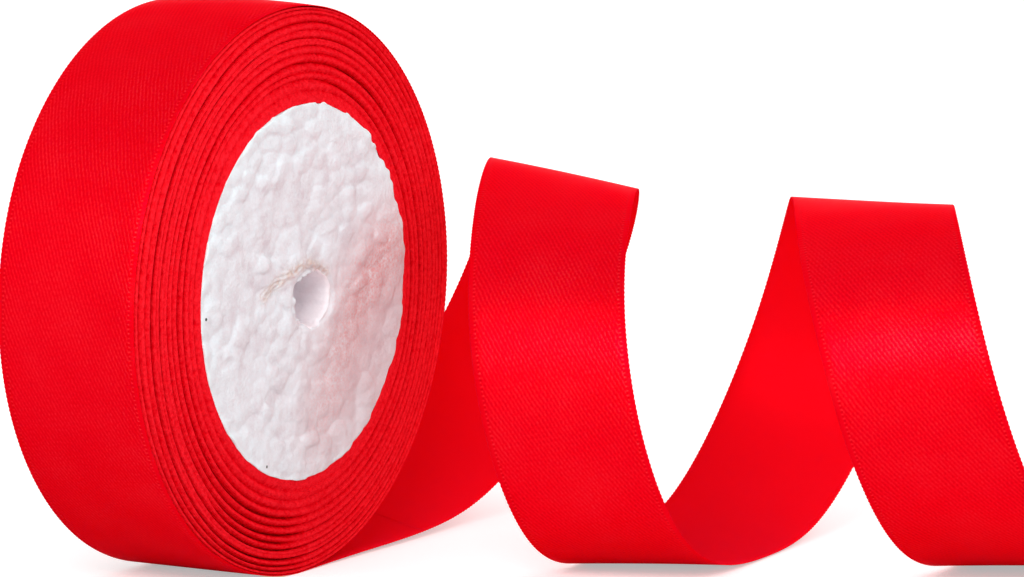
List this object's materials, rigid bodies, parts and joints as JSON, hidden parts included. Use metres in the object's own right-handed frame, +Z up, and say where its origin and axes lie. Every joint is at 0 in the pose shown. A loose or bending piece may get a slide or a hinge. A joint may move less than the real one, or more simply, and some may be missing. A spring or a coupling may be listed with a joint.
{
  "type": "ribbon spool",
  "caption": "Foam-cored roll of satin gift ribbon standing on edge, with its free tail curling away beside it in loose waves.",
  "frame": {"origin": "on the floor, under the middle of the roll, halfway between its two faces", "axes": "+Z up; Y along the roll's axis, with the face beside the tail towards -Y; the tail leaves the bottom of the roll towards +X"},
  "size_m": [0.1393, 0.1376, 0.09],
  "materials": {
    "foam": "white expanded-polystyrene foam, fused beads",
    "tape": "translucent double-sided tape",
    "satin": "red single-face polyester satin, glossy outside and matt inside"
  },
  "bodies": {
    "outer_loop": {"outer_turn": "satin"},
    "roll": {"foam_core": "foam", "core_tape": "tape", "turns_1": "satin", "turns_2": "satin", "turns_3": "satin", "turns_4": "satin", "turns_5": "satin", "turns_6": "satin"},
    "tail": {"tail_run": "satin", "tail_wave_1": "satin", "tail_wave_2": "satin", "tail_end": "satin"}
  },
  "joints": [
    {"name": "roll_spin", "type": "hinge", "parent": "outer_loop", "child": "roll", "pos_m": [0, 0.00065, 0.045], "axis": [0, -1, 0], "continuous": true},
    {"name": "tail_lift", "type": "hinge", "parent": "outer_loop", "child": "tail", "pos_m": [0.013, 0.00065, 0.0005], "axis": [0, -1, 0], "range_deg": [0, 12]}
  ]
}
